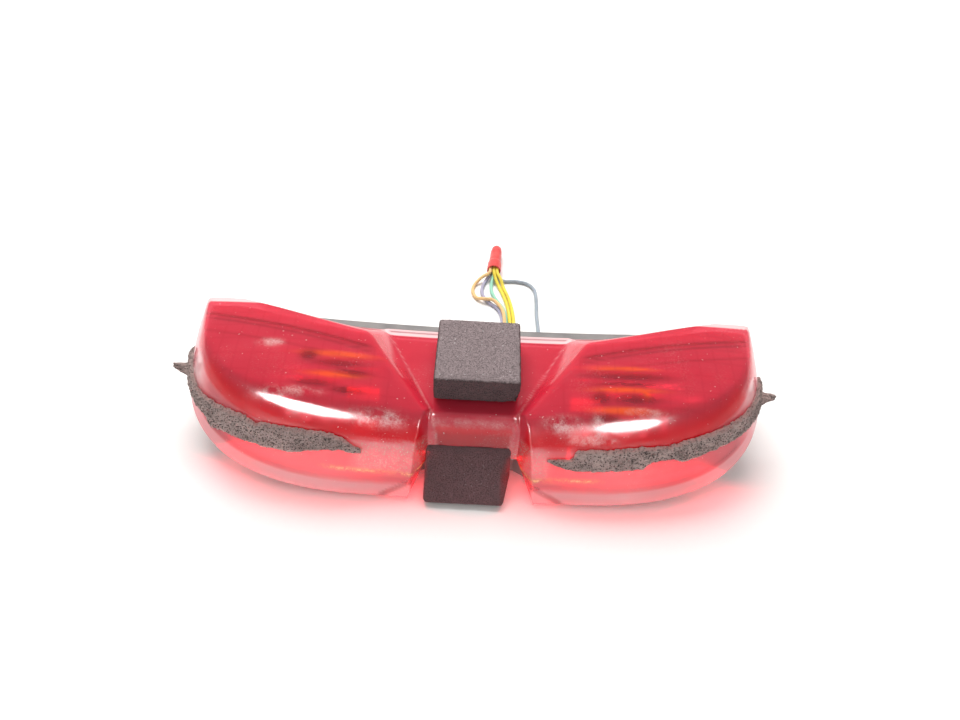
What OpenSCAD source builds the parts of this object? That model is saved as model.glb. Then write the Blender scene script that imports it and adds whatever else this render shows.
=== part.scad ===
// Twin-lobe stop and tail lamp, lying on its back: +Z up, lens up, wires towards +Y.
// The origin is at the middle of the base, on the surface that the lamp lies on.

/* [Lens] */
// Half of the lens's width at its rim
lens_half_w = 120; // [117:0.5:123]
// Height of the lobes' crowns above the resting surface
crown_z = 45; // [44:0.5:46]
// Wall thickness of the lens
lens_t = 2.4; // [2:0.1:2.6]
// Height of the saddle's floor between the lobes
saddle_z = 32.5; // [32:0.1:33]
// Rise of the lens's side walls for each millimetre inwards
wall_slope = 2.1; // [2:0.05:2.2]

/* [Housing] */
// Wall thickness of the back shell
shell_t = 2.2; // [1.8:0.1:2.4]
// Half width of the tunnel that holds the bulb holders
tunnel_half_w = 32; // [31.8:0.1:32.2]

/* [Bulbs] */
// Diameter of a bulb's glass
glass_d = 18.6; // [17:0.2:19]
// Diameter of a bulb's metal base
base_d = 15.2; // [15:0.1:15.3]
// Height of the bulbs' axis
bulb_z = 14.6; // [14.5:0.1:14.8]

/* [Mounts] */
// Distance between the two mounting lugs
lug_spacing = 110; // [90:1:130]
// Bore of the steel collars, for M6 bolts
collar_bore = 6.4; // [6.2:0.1:6.8]

/* [Foam] */
// Width of the two foam blocks
foam_w = 32.4; // [28:0.2:33]
// Length of the top foam block
block_len = 33; // [28:0.5:34]
// Thickness of the foam sealing strips
strip_t = 3; // [2:0.1:3.4]

/* [Wires] */
// Diameter of one insulated wire
wire_d = 1.8; // [1.4:0.1:1.8]

/* [Hidden] */
$fn = 48;

// Lens outline: straight front, a superellipse round each lobe, a bowed back edge.
lobe_x = 70;
crown_y = 8;
half_depth = 51;
round_x = 37;
round_n = 2.5;
round_a = lens_half_w - round_x;
front_y = crown_y - half_depth;
notch_in = [18.2, -31.3];
notch_out = [25, -43.4];
arch_y = -30.5;
arch_z = 13.5;
back_y = 21;
corner_r = 4;
corner_x = lens_half_w - 6;
line_n = 31;
ring_n = 12;
spine_y = -1;

function rim_z(y) = 33 + 0.46 * (y - 24);
function rear_y(x) = back_y + 0.00042 * x * x;
function side_x(y) = lens_half_w - 0.003 * pow(max(0, y - crown_y), 2);

// Two surfaces blended over a height of r where they cross.
function low_of(a, b, r) = min(a, b) - pow(max(r - abs(a - b), 0), 2) / (4 * r);
function high_of(a, b, r) = -low_of(-a, -b, r);

// Distance from the rim of a lobe, measured inwards.
function lobe_level(dx, dy) = pow(pow(dx, round_n) + pow(dy, round_n), 1 / round_n);
function lobe_slope(dx, dy) = pow(lobe_level(dx, dy), 1 - round_n)
  * norm([pow(dx, round_n - 1) / round_a, pow(dy, round_n - 1) / half_depth]);
function rounded_gap(dx, dy) = (1 - lobe_level(dx, dy)) / lobe_slope(dx, dy);
function rim_gap(x, y) = y >= crown_y ? side_x(y) - x
  : x <= round_x ? y - front_y
  : rounded_gap((x - round_x) / round_a, (crown_y - y) / half_depth);

// The lens's height at a point: crown, outer wall, back wall, saddle facet and notch.
function crown(x, y) = crown_z - 0.0055 * pow(max(0, crown_y - y), 2)
  - 0.0016 * pow(x - lobe_x, 2);
function outer_wall(x, y, t) = rim_z(y) + wall_slope * (rim_gap(x, y) - t);
function back_run(x) = min(14, max(1.5, 1.5 + 0.21 * (100 - x)));
function back_wall(x, y, t) = rim_z(rear_y(x)) + 11 / back_run(x) * (rear_y(x) - y - t);
function crease_gap(x, y) = 0.894 * (x - 16) - 0.448 * (y + 25.3);
function facet(x, y, t) = saddle_z - 1.4 * t + 1.02 * crease_gap(x, y);
function notch_wall(x, y, t) = 2 + max(0, 11.5 * min(1, (y + 43.5) / 12.5))
  + 6 * (0.8725 * (x - 18) + 0.4886 * (y + 31) - t);
function lobe_z(x, y, t) =
  low_of(low_of(low_of(low_of(crown(x, y) - t, outer_wall(x, y, t),
    3 + 9 * min(1, max(0, (crown_y - y) / 30))),
    back_wall(x, y, t), 2), facet(x, y, t), 2), notch_wall(x, y, t), 2);
function saddle(x, y, t) = low_of(saddle_z - t - 2 * max(0, crease_gap(x, y)),
  arch_z + 3.45 * (y - arch_y - t), 3);
function lens_z(x, y, t) = high_of(lobe_z(abs(x), y, t), saddle(abs(x), y, t), 1.5);

// Rim points of the right half, from the middle to the widest point.
function mix(a, b, f) = a + (b - a) * f;
function lobe_point(f, inset) = let (p = 90 * f)
  [round_x + (round_a - inset) * pow(sin(p), 2 / round_n),
   crown_y - (half_depth - inset) * pow(cos(p), 2 / round_n)];
front_rim = concat([[0, arch_y], [9, arch_y], [17.5, arch_y]],
  [for (k = [0:4]) mix(notch_in, notch_out, k / 4)],
  [[31, front_y], [round_x, front_y]],
  [for (k = [1:line_n - 10]) lobe_point(k / (line_n - 10), 0)]);
back_len = corner_x;
corner_len = corner_r * PI / 2;
side_len = rear_y(corner_x) - corner_r - crown_y;
rim_len = back_len + corner_len + side_len;
function rear_point(q) = q <= back_len ? [q, rear_y(q)]
  : q <= back_len + corner_len ? corner_point((q - back_len) / corner_len * 90)
  : side_point(rear_y(corner_x) - corner_r - (q - back_len - corner_len));
function side_point(y) = [side_x(y), y];
function corner_point(a) = let (y0 = rear_y(corner_x) - corner_r)
  [mix(corner_x, side_x(y0), sin(a)), y0 + corner_r * cos(a)];
rear_rim = [for (k = [0:line_n - 1]) rear_point(rim_len * k / (line_n - 1))];

// Pulls a rim point inwards by the wall's thickness for the lens's inner skin.
function inner_front(k) = k < 3 ? front_rim[k] + [0, lens_t]
  : k < 8 ? front_rim[k] + lens_t * [0.87, k == 7 ? 1 : 0.49]
  : k < 10 ? front_rim[k] + [0, lens_t]
  : lobe_point((k - 9) / (line_n - 10), lens_t);
function inner_rear(k) = let (p = rear_rim[k], q = rim_len * k / (line_n - 1),
  a = min(90, max(0, (q - back_len) / corner_len * 90))) p - lens_t * [sin(a), cos(a)];
function rim_at(k, back, t) = t == 0 ? (back ? rear_rim[k] : front_rim[k])
  : k == line_n - 1 ? front_rim[k] - [t, 0]
  : (back ? inner_rear(k) : inner_front(k));
function rim_height(k, back, p) = back || k > 7 ? rim_z(p[1])
  : k < 3 ? arch_z : mix(arch_z - 0.5, rim_z(front_y), (k - 3) / 4);
function spine(k) = [0.31 * (front_rim[k][0] + rear_rim[k][0]), spine_y];

// One line of points from the front rim over the lobe to the back rim.
function line_point(k, j, s, t) = let (back = j > ring_n,
  step = back ? 2 * ring_n - j : j,
  rim = rim_at(k, back, t),
  p = mix(rim, spine(k), pow(step / ring_n, 1.6)))
  [s * p[0], p[1], step == 0 ? rim_height(k, back, p) : lens_z(p[0], p[1], t)];
function skin(t) = [for (i = [1 - line_n:line_n - 1]) for (j = [0:2 * ring_n])
  line_point(abs(i), j, sign(i) == 0 ? 1 : sign(i), t)];

// Indices in one skin. The two end lines fold back on themselves.
row_n = 2 * ring_n + 1;
last_i = 2 * line_n - 2;
skin_n = (last_i + 1) * row_n;
function at(i, j) = i * row_n + ((i == 0 || i == last_i) && j > ring_n ? 2 * ring_n - j : j);
function tri(a, b, c) = a == b || b == c || a == c ? [] : [[a, b, c]];
skin_faces = [for (i = [0:last_i - 1]) for (j = [0:2 * ring_n - 1])
  each concat(tri(at(i, j), at(i, j + 1), at(i + 1, j + 1)),
    tri(at(i, j), at(i + 1, j + 1), at(i + 1, j)))];
rim_loop = concat([for (i = [0:last_i]) at(i, 0)],
  [for (i = [last_i - 1:-1:1]) at(i, 2 * ring_n)]);
rim_faces = [for (k = [0:len(rim_loop) - 1])
  let (a = rim_loop[k], b = rim_loop[(k + 1) % len(rim_loop)])
  each [[a, b, b + skin_n], [a, b + skin_n, a + skin_n]]];

module lens()
  color("#d01c38")
    polyhedron(concat(skin(0), skin(lens_t)),
      concat(skin_faces, [for (f = skin_faces) [f[2], f[1], f[0]] + [1, 1, 1] * skin_n],
        rim_faces), 8);

// Housing: a wedge-shaped shell with two bulb chambers and a tunnel between them.
joint_inset = 4.4;
rim_rise = 3.5;
floor_t = 2.2;
roof_z = 29.4;
roof_under_z = 27.3;
strip_w = 4.3;
strip_z = 31.5;
wall_y = back_y + strip_w;
rear_wall_t = 1.7;
tunnel_out_w = tunnel_half_w + shell_t;
wall_in = joint_inset + shell_t;
saddle_half_w = 47;

module prism_x(half, pts)
  translate([-half, 0, 0]) rotate([90, 0, 90]) linear_extrude(2 * half) polygon(pts);

module below_rim(rise)
  prism_x(130, [[-60, -5], [-60, rim_z(-60) + rise], [50, rim_z(50) + rise], [50, -5]]);

function half_plan(inset, rear) = concat(
  [[0, arch_y + inset], [17, arch_y + inset],
   [round_x + 0.5, front_y + inset]],
  [for (k = [1:20]) lobe_point(k / 20, inset)],
  [for (y = [11, 15]) [side_x(y) - inset, y]],
  [for (k = [0:4]) let (a = 22.5 * k, x0 = corner_x - inset)
    [x0 + corner_r * cos(a), rear_y(x0) + rear - corner_r + corner_r * sin(a)]],
  [for (x = [100:-20:0]) [x, rear_y(x) + rear]]);
function full_plan(inset, rear) = let (h = half_plan(inset, rear))
  concat(h, [for (k = [len(h) - 2:-1:1]) [-h[k][0], h[k][1]]]);

module tunnel_plan(w, grow)
  polygon([[-15 - grow, -20.8 - grow], [15 + grow, -20.8 - grow], [w, -8 - grow / 2],
    [w, wall_y - rear_wall_t], [-w, wall_y - rear_wall_t], [-w, -8 - grow / 2]]);

module bridge()
  prism_x(tunnel_out_w, [[arch_y + joint_inset, 0], [arch_y + joint_inset, arch_z],
    [-22.3, roof_z], [22, roof_z], [22, 0]]);

lug_y = 36;
lug_r = 9;
lug_z = [2, 6];
grommet_waist_r = 6.5;
bulb_y = 4;
holder_neck_r = 10;
tab_r = 11.8;
tab_count = 3;
unlock_angle = 45;
screw_at = [[58, -26], [92, -12]];
vent_at = [95, 12];
exit_z = 7.6;
main_exit_x = 15;
small_exit_x = 30;

module both_sides() {
  children();
  mirror([1, 0, 0]) children();
}

// Puts a shape that is drawn along +Z on a bulb's axis, pointing outwards.
module on_bulb_axis(s)
  translate([0, bulb_y, bulb_z]) rotate([0, 90 * s, 0]) children();

module disc(r, from, to) translate([0, 0, from]) cylinder(r = r, h = to - from);

module tabs(r, width, from, to, turn)
  for (k = [0:tab_count - 1])
    rotate([0, 0, turn + 360 / tab_count * k])
      intersection() {
        disc(r, from, to);
        translate([0, -width / 2, from]) cube([r + 1, width, to - from]);
      }

module grommet_slot(w, h, from, to)
  translate([0, to, 0]) rotate([90, 0, 0]) linear_extrude(to - from)
    union() {
      square([w - h, h], center = true);
      for (s = [-1, 1]) translate([s * (w - h) / 2, 0]) circle(d = h);
    }

module screw_post(p)
  translate([p[0], p[1], 1]) cylinder(r = 3.2, h = reflector_z(p[1]) - 1.1);

module housing_solid() {
  intersection() {
    linear_extrude(60) polygon(full_plan(joint_inset, -joint_inset));
    below_rim(rim_rise);
  }
  intersection() {
    linear_extrude(60) polygon(full_plan(joint_inset, 0.3));
    below_rim(-0.3);
  }
  intersection() {
    linear_extrude(strip_z) polygon(full_plan(joint_inset, strip_w));
    below_rim(-0.3);
  }
  bridge();
}

// Hollow of the two bulb chambers. It widens backwards, below the ledge under the lens.
module chamber(rear)
  translate([0, 0, floor_t]) linear_extrude(60)
    difference() {
      polygon(full_plan(wall_in, rear));
      tunnel_plan(tunnel_out_w, shell_t);
    }

module chambers() {
  chamber(0.4 - wall_in);
  intersection() {
    chamber(strip_w - shell_t);
    below_rim(-3);
  }
}

// Room above the tunnel for the lens's saddle.
module saddle_room()
  translate([0, 0, roof_z]) linear_extrude(30)
    intersection() {
      polygon(full_plan(0, -2.3));
      square([2 * saddle_half_w, 90], center = true);
    }

module rear_housing()
  color("#8c8787")
    difference() {
      union() {
        difference() {
          housing_solid();
          chambers();
        }
        for (p = screw_at) both_sides() screw_post(p);
      }
      saddle_room();
      translate([0, 0, -1]) linear_extrude(roof_under_z + 1) tunnel_plan(tunnel_half_w, 0);
      translate([-14.5, -40, -1.5]) cube([29, 20, 14.5]);
      for (s = [-1, 1]) on_bulb_axis(s) {
        disc(holder_neck_r + 0.3, tunnel_half_w - 1, tunnel_out_w + 1);
        tabs(tab_r + 0.4, 8.4, tunnel_half_w - 1.2, tunnel_out_w + 1.2, unlock_angle);
      }
      both_sides() {
        translate([vent_at[0], 36, vent_at[1]]) rotate([90, 0, 0]) cylinder(r = 2.5, h = 16);
        for (p = screw_at) translate([p[0], p[1], 1]) cylinder(r = 1.45, h = 10);
      }
      translate([main_exit_x, 0, exit_z]) grommet_slot(12, 6.6, 22.4, 30);
      translate([small_exit_x, 0, exit_z]) grommet_slot(3.81, 3.8, 22.4, 30);
    }

module mount_lugs()
  color("#8c8787")
    both_sides() difference() {
      translate([lug_spacing / 2, 0, lug_z[0]]) {
        translate([0, lug_y, 0]) cylinder(r = lug_r, h = lug_z[1] - lug_z[0]);
        translate([-lug_r, wall_y - 1, 0])
          cube([2 * lug_r, lug_y - wall_y + 1, lug_z[1] - lug_z[0]]);
      }
      linear_extrude(20) polygon(full_plan(joint_inset, strip_w + 0.02));
      translate([lug_spacing / 2, lug_y, 0]) cylinder(r = grommet_waist_r, h = 10);
    }

module lens_seal()
  color("#1c1a1a")
    difference() {
      intersection() {
        linear_extrude(60)
          difference() {
            polygon(full_plan(3, -3));
            polygon(full_plan(joint_inset - 0.1, -joint_inset + 0.1));
          }
        below_rim(0.9);
      }
      below_rim(-0.2);
      translate([-19, -45, 0]) cube([38, 35, 30]);
      translate([-saddle_half_w, 0, 0]) cube([2 * saddle_half_w, 35, 50]);
    }

// Reflector: a metallised trough with a flat front and a back that curves up.
reflector_t = 1.2;
reflector_back_r = 10.2;
reflector_top = 27;
function reflector_z(y) = 3.2 + 0.0009 * pow(y - bulb_y, 2);
function back_arc(y_r, z_r) = [for (a = [0:15:90]) [bulb_y + y_r * sin(a), bulb_z - z_r * cos(a)]];
inner_arc = back_arc(reflector_back_r, reflector_back_r);
back_wall_y = bulb_y + reflector_back_r;
trough = concat([for (y = [-38:10:-8]) [y, reflector_z(y)]],
  back_arc(reflector_back_r + 0.6, reflector_back_r + reflector_t),
  [[back_wall_y + 0.6, reflector_top], [back_wall_y, reflector_top]],
  [for (k = [len(inner_arc) - 1:-1:0]) inner_arc[k]],
  [for (y = [-8:-10:-38]) [y, reflector_z(y) + reflector_t]]);
end_wall = concat([for (y = [-30:5:0]) [y, reflector_z(y) + 0.3]],
  back_arc(reflector_back_r + 0.3, reflector_back_r + 0.3),
  [[back_wall_y + 0.3, reflector_top - 0.5], [-14, reflector_top - 0.5]]);

module reflector(s)
  color("#d8dadd")
    mirror([s < 0 ? 1 : 0, 0, 0])
      difference() {
        intersection() {
          union() {
            prism_x(112, trough);
            translate([39.1, 0, 0]) prism_x(0.6, end_wall);
          }
          translate([38.5, -60, 0]) cube([100, 120, 40]);
          linear_extrude(60) polygon(full_plan(7.2, -6.5));
          below_rim(2.5);
        }
        translate([38, bulb_y, bulb_z]) rotate([0, 90, 0]) cylinder(r = 9.9, h = 3);
        for (p = screw_at) translate([p[0], p[1], 0]) cylinder(r = 1.7, h = 20);
      }

module reflector_screws()
  color("#b9bcc0")
    both_sides() for (p = screw_at)
      translate([p[0], p[1], 0]) {
        translate([0, 0, 1.2]) cylinder(r = 1.4, h = reflector_z(p[1]) + 0.8);
        difference() {
          translate([0, 0, reflector_z(p[1]) + 1.4]) cylinder(r = 2.9, h = 1.7);
          translate([-2, -0.4, reflector_z(p[1]) + 2.3]) cube([4, 0.8, 2]);
          translate([-0.4, -2, reflector_z(p[1]) + 2.3]) cube([0.8, 4, 2]);
        }
      }

module vent_caps()
  color("#232122")
    both_sides()
      translate([vent_at[0], rear_y(vent_at[0]) + strip_w, vent_at[1]]) rotate([-90, 0, 0])
        difference() {
          union() {
            disc(4, 0.5, 4);
            disc(3, 3.9, 5.5);
            disc(2.4, -4, 0.6);
          }
          disc(1, -5, 4.5);
        }

module mount_grommets()
  color("#1f1e1e")
    both_sides() translate([lug_spacing / 2, lug_y, 0])
      rotate_extrude() polygon([[4.6, 0], [8.4, 0], [8.4, 1.95], [6.45, 1.95], [6.45, 6.05],
        [8.4, 6.05], [8.4, 8], [4.6, 8]]);

module mount_collars()
  color("#b5b8bc")
    both_sides() translate([lug_spacing / 2, lug_y, 0])
      difference() {
        cylinder(r = 4.55, h = 8);
        translate([0, 0, -1]) cylinder(d = collar_bore, h = 10);
      }

module main_grommet()
  color("#232122")
    translate([main_exit_x, 0, exit_z]) {
      grommet_slot(14.5, 9, wall_y + 0.35, 30.5);
      grommet_slot(11.9, 6.5, 23.3, wall_y + 0.4);
    }

module small_grommet()
  color("#232122")
    translate([small_exit_x, 0, exit_z]) {
      grommet_slot(6.01, 6, wall_y + 0.65, 30.5);
      grommet_slot(3.61, 3.6, 23.3, wall_y + 0.7);
    }

// Bulb holders: heights below are distances from the lamp's middle along the bulb's axis.
sleeve_r = 8.6;
pin_turn = 35;

module bulb_holder(s)
  color("#3a3a3d")
    on_bulb_axis(s)
      difference() {
        union() {
          disc(3.4, 22, 24);
          disc(8, 23, 29.5);
          for (k = [0:11]) rotate([0, 0, 30 * k]) translate([7.5, -0.8, 23]) cube([1.4, 1.6, 6]);
          disc(12.4, 29, tunnel_half_w - 1);
          disc(holder_neck_r, tunnel_half_w - 1.1, tunnel_out_w + 2.3);
          tabs(tab_r, 7.4, tunnel_out_w + 0.3, tunnel_out_w + 2.3, 0);
          disc(holder_neck_r - 0.4, tunnel_out_w + 2.2, 40);
        }
        disc(sleeve_r + 0.05, 27, 41);
      }

module holder_seal(s)
  color("#1c1a1a")
    on_bulb_axis(s)
      difference() {
        disc(12, tunnel_half_w - 0.98, tunnel_half_w - 0.05);
        disc(holder_neck_r + 0.1, 30, 34);
      }

module holder_sleeve(s)
  color("#c9b06a")
    on_bulb_axis(s)
      difference() {
        disc(sleeve_r, 27.1, 54);
        disc(7.75, 26, 55);
        for (k = [0, 180]) rotate([0, 0, pin_turn + k]) {
          rotate([0, 0, 20]) translate([6, -1.3, 49]) cube([4, 2.6, 6]);
          rotate([0, 0, 8]) translate([5.8, -2.6, 48.8]) cube([4.4, 5.2, 2.4]);
        }
      }

module contact_plate(s)
  color("#a0522d")
    on_bulb_axis(s) {
      disc(7.6, 31.3, 32.8);
      for (d = [-3, 3]) translate([d, 0, 0]) disc(1.5, 32.7, 33.4);
    }

module bulb_base(s)
  color("#c8a04a")
    on_bulb_axis(s) {
      difference() {
        disc(base_d / 2, 36.2, 53);
        disc(base_d / 2 - 0.5, 36.7, 54);
      }
      for (k = [0, 180]) rotate([0, 0, pin_turn + k]) translate([base_d / 2 - 0.2, 0, 50])
        rotate([0, 90, 0]) cylinder(r = 1, h = 1.3);
    }

module bulb_insulator(s)
  color("#17171a")
    on_bulb_axis(s)
      difference() {
        disc(6.8, 34.2, 36.15);
        for (d = [-3, 3]) translate([d, 0, 0]) disc(1.65, 34, 35.2);
      }

module bulb_contacts(s)
  color("#c4c6c8")
    on_bulb_axis(s) for (d = [-3, 3]) translate([d, 0, 0]) disc(1.6, 33.45, 35.1);

// Glass envelope: a straight neck that opens into a round globe.
globe_r = glass_d / 2;
globe_at = 65.5;

module bulb_glass(s)
  color("#e8eef0", 0.5)
    on_bulb_axis(s)
      difference() {
        envelope(globe_r, 6.9);
        envelope(globe_r - 0.8, 6.1);
      }

module envelope(r, neck) {
  disc(neck, r > globe_r - 0.5 ? 51 : 50, globe_at - sqrt(r * r - neck * neck) + 0.5);
  translate([0, 0, globe_at]) sphere(r = r);
}

module bulb_filaments(s)
  color("#9aa0a6")
    on_bulb_axis(s)
      for (d = [-2.6, 2.6]) translate([d, 0, 0]) {
        for (w = [-2.2, 2.2]) translate([0, w, 0]) disc(0.25, 50, 65);
        translate([0, -2.2, 65]) rotate([-90, 0, 0]) cylinder(r = 0.4, h = 4.4);
      }

// A round tube along a list of points. up is any direction that the tube never follows.
function ring_at(path, k, r, n, up) = let (last = len(path) - 1,
  d = path[min(last, k + 1)] - path[max(0, k - 1)],
  t = d / norm(d), a = cross(t, up), side = a / norm(a), top = cross(side, t))
  [for (i = [0:n - 1]) path[k] + r * (cos(360 * i / n) * side + sin(360 * i / n) * top)];

module tube(path, d, up = [0, 0, 1], n = 8) {
  last = len(path) - 1;
  pts = [for (k = [0:last]) each ring_at(path, k, d / 2, n, up)];
  sides = [for (k = [0:last - 1]) for (i = [0:n - 1]) let (j = (i + 1) % n)
    each [[k * n + i, k * n + j, (k + 1) * n + j], [k * n + i, (k + 1) * n + j, (k + 1) * n + i]]];
  caps = [[for (i = [n - 1:-1:0]) i], [for (i = [0:n - 1]) last * n + i]];
  polyhedron(pts, [for (f = concat(sides, caps)) [for (k = [len(f) - 1:-1:0]) f[k]]], 8);
}

spring_turns = 2;
spring_path = [for (k = [0:12 * spring_turns]) let (a = 30 * k)
  [5.4 * cos(a), 5.4 * sin(a), 27.6 + 3.2 * k / (12 * spring_turns)]];

module contact_spring(s)
  color("#b0b3b6") on_bulb_axis(s) tube(spring_path, 0.8, [0, 0, 1], 6);

// Foam
block_x = 0.6;
block_y = [-18, -18 + block_len];
tape_t = 0.4;
pad_x = -2.3;
pad_profile = [[-29.3, 18.5], [-45, 3.2], [-42.3, 0.1], [-36, 0.1], [-27, 9.2], [-30.9, 13.2]];

module foam_block_top()
  color("#3c3235")
    translate([block_x - foam_w / 2, block_y[0], saddle_z + tape_t + 0.1])
      cube([foam_w, block_len, crown_z - saddle_z - tape_t - 0.1]);

module block_tape()
  color("#e8e2d6")
    translate([block_x - foam_w / 2 + 2, block_y[0] + 3, saddle_z + 0.05])
      cube([foam_w - 4, block_len - 6, tape_t]);

module foam_pad_lower()
  color("#46383c") translate([pad_x, 0, 0]) prism_x(foam_w / 2, pad_profile);

// Sealing strips follow the outer wall of each lobe between two heights. The right one
// starts nearer the tunnel, on the straight part of the front edge.
strip_n = 20;
strip_from = [0.04, -0.035];
strip_flat = 170;
strip_gap = 0.7;
function strip_low(f) = 16.6 + 3.2 * f + 6.4 * pow(f, 4);
function strip_high(f) = 26.6 + 6 * f - 2.6 * f * f;
function strip_rim(f, from) = let (g = mix(from, 1, f))
  g < 0 ? [round_x + strip_flat * g, front_y] : lobe_point(g, 0);
function strip_inner(f, from) = [0.62 * strip_rim(f, from)[0], spine_y];
function wall_u(rim, end, z, lo, hi, n) = let (m = (lo + hi) / 2, p = mix(rim, end, m))
  n == 0 ? m
  : lens_z(p[0], p[1], 0) < z ? wall_u(rim, end, z, m, hi, n - 1)
  : wall_u(rim, end, z, lo, m, n - 1);
function wall_point(f, z, from) = let (rim = strip_rim(f, from), end = strip_inner(f, from),
  p = mix(rim, end, wall_u(rim, end, z, 0, 0.5, 16))) [p[0], p[1], z];
function wall_normal(f, from) = let (
  d = strip_rim(min(1, f + 0.02), from) - strip_rim(max(0, f - 0.02), from),
  n = [d[1], -d[0]] / norm(d)) [0.9 * n[0], 0.9 * n[1], 0.43];
function strip_ring(f, from) = let (n = wall_normal(f, from),
  a = wall_point(f, strip_low(f), from), b = wall_point(f, strip_high(f), from))
  [a + strip_gap * n, b + strip_gap * n, b + strip_t * n, a + strip_t * n];

module foam_strip(s)
  color("#8a7a74")
    mirror([s < 0 ? 1 : 0, 0, 0]) {
      from = strip_from[s < 0 ? 0 : 1];
      pts = [for (k = [0:strip_n]) each strip_ring(k / strip_n, from)];
      sides = [for (k = [0:strip_n - 1]) for (i = [0:3]) let (j = (i + 1) % 4)
        each [[4 * k + i, 4 * k + j, 4 * k + 4 + j], [4 * k + i, 4 * k + 4 + j, 4 * k + 4 + i]]];
      ends = [[3, 2, 1, 0], [for (i = [0:3]) 4 * strip_n + i]];
      polyhedron(pts, [for (f = concat(sides, ends)) [for (k = [len(f) - 1:-1:0]) f[k]]], 8);
    }

// Leads held inside the tunnel, from the holders' backs to the grommets.
sleeve_left_path = [[-21.2, 4, 14.6], [-16, 4.1, 14.5], [-9, 6.5, 13], [-2, 11, 10], [5, 16, 8.2],
  [10.5, 19, 7.7], [12.2, 22.4, 7.6]];
sleeve_right_path = [[21.1, 2.8, 14.6], [17.4, 4, 13.9], [15.4, 8, 11.4], [16.2, 14, 8.6],
  [17, 18.8, 7.8], [17.2, 22.4, 7.6]];
blue_lead_path = [[21.1, 6, 14.6], [18.9, 8.6, 13.4], [20.6, 12, 10.8], [25, 15.4, 8.6],
  [28.8, 18.8, 7.8], [29.8, 22.4, 7.6]];
sleeve_d = 4;

module lead_sleeve_left() color("#262426") tube(sleeve_left_path, sleeve_d);
module lead_sleeve_right() color("#262426") tube(sleeve_right_path, sleeve_d * 0.8);
module blue_lead() color("#8a97ac") tube(blue_lead_path, wire_d);

// Free wires: out of the grommet, down, along the surface and into the splice cap.
wire_pitch = 1.9;
exit_path = [[15, 30.5, 7.6], [15, 36, 7.2], [15, 42, 4], [15, 48, 1.2], [15, 60, 0.95]];
function from_exit(dx, dz) = [for (p = exit_path) p + [dx, 0, dz]];
yellow_a_path = concat(from_exit(wire_pitch / 2, 0), [[15.6, 69, 0.95], [14.5, 77, 0.95],
  [12.6, 85, 0.95], [10.2, 92, 0.95], [8.2, 97, 2.6], [7, 101, 4.6], [7.3, 108, 4.7]]);
yellow_b_path = concat(from_exit(1.5 * wire_pitch, 0), [[17.5, 69, 0.95], [16.5, 77, 0.95],
  [14.7, 85, 0.95], [12.4, 92, 1], [11, 96, 2.9], [8.7, 101, 4.6], [8.9, 108, 4.7]]);
green_path = concat(from_exit(-wire_pitch / 2, 0), [[13.6, 69, 0.95], [11.9, 76, 0.95],
  [8.6, 82, 0.95], [6.3, 88, 0.95], [5.9, 94, 0.95], [6.7, 100, 2.5], [7.3, 108, 2.7]]);
lilac_path = concat(from_exit(-1.5 * wire_pitch, 0), [[11.6, 69, 0.95], [9.4, 75, 0.95],
  [5.2, 79.5, 0.95], [1.8, 84.5, 0.95], [1, 90, 0.95], [2.4, 96, 0.95], [4.8, 101, 2.5],
  [5.4, 108, 2.7]]);
tan_path = concat(from_exit(-wire_pitch, 1.7), [[12.6, 69, 2.7], [10.6, 75, 2.9],
  [6.6, 79.6, 3], [2, 80.8, 2.3], [-1.8, 83, 1], [-3.8, 88, 0.95], [-3, 93.5, 0.95],
  [0.4, 97.6, 2.8], [4.4, 99.8, 4.4], [5.1, 103, 4.7], [5.4, 108, 4.7]]);
blue_path = [[30, 30.5, 7.6], [30, 36, 7.2], [30, 42, 4], [30, 48, 1.2], [30, 60, 0.95],
  [29.5, 72, 0.95], [29.6, 83, 0.95], [28.8, 91.5, 0.95], [25, 96.6, 0.95], [18.5, 98.2, 0.95],
  [12.6, 97.9, 0.95], [9.4, 99.4, 1.8], [8.7, 102.4, 2.7], [8.9, 108, 2.7]];

module free_wire(path, c) color(c) tube(path, wire_d);

// Closed-end cap: a flared mouth and a body with a round end.
cap_mouth = [6.9, 103, 3.7];
cap_turn = -4;

module on_cap_axis() translate(cap_mouth) rotate([0, 0, cap_turn]) rotate([-90, 0, 0]) children();

module splice_cap()
  color("#d8343c") on_cap_axis() rotate_extrude()
    polygon([[3.05, 0], [3.7, 0], [3.7, 5.5], [3.2, 7.5], [3.1, 16], [2.7, 19], [1.8, 20.6],
      [0, 21.2], [0, 19.5], [2.1, 17.5], [2.4, 13], [2.4, 7.5], [3.05, 6]]);

module crimp_barrel() color("#b9bcc0") on_cap_axis() disc(2.3, 7.4, 15);

lens();
rear_housing();
lens_seal();
reflector(-1);  // reflector_left
reflector(1);  // reflector_right
reflector_screws();
vent_caps();
mount_lugs();
mount_grommets();
mount_collars();
main_grommet();
small_grommet();
bulb_holder(-1);  // bulb_holder_left
bulb_holder(1);  // bulb_holder_right
holder_seal(-1);  // holder_seal_left
holder_seal(1);  // holder_seal_right
holder_sleeve(-1);  // holder_sleeve_left
holder_sleeve(1);  // holder_sleeve_right
contact_plate(-1);  // contact_plate_left
contact_plate(1);  // contact_plate_right
contact_spring(-1);  // contact_spring_left
contact_spring(1);  // contact_spring_right
bulb_base(-1);  // bulb_base_left
bulb_base(1);  // bulb_base_right
bulb_insulator(-1);  // bulb_insulator_left
bulb_insulator(1);  // bulb_insulator_right
bulb_contacts(-1);  // bulb_contacts_left
bulb_contacts(1);  // bulb_contacts_right
bulb_glass(-1);  // bulb_glass_left
bulb_glass(1);  // bulb_glass_right
bulb_filaments(-1);  // bulb_filaments_left
bulb_filaments(1);  // bulb_filaments_right
foam_block_top();
block_tape();
foam_pad_lower();
foam_strip(-1);  // foam_strip_left
foam_strip(1);  // foam_strip_right
lead_sleeve_left();
lead_sleeve_right();
blue_lead();
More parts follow.
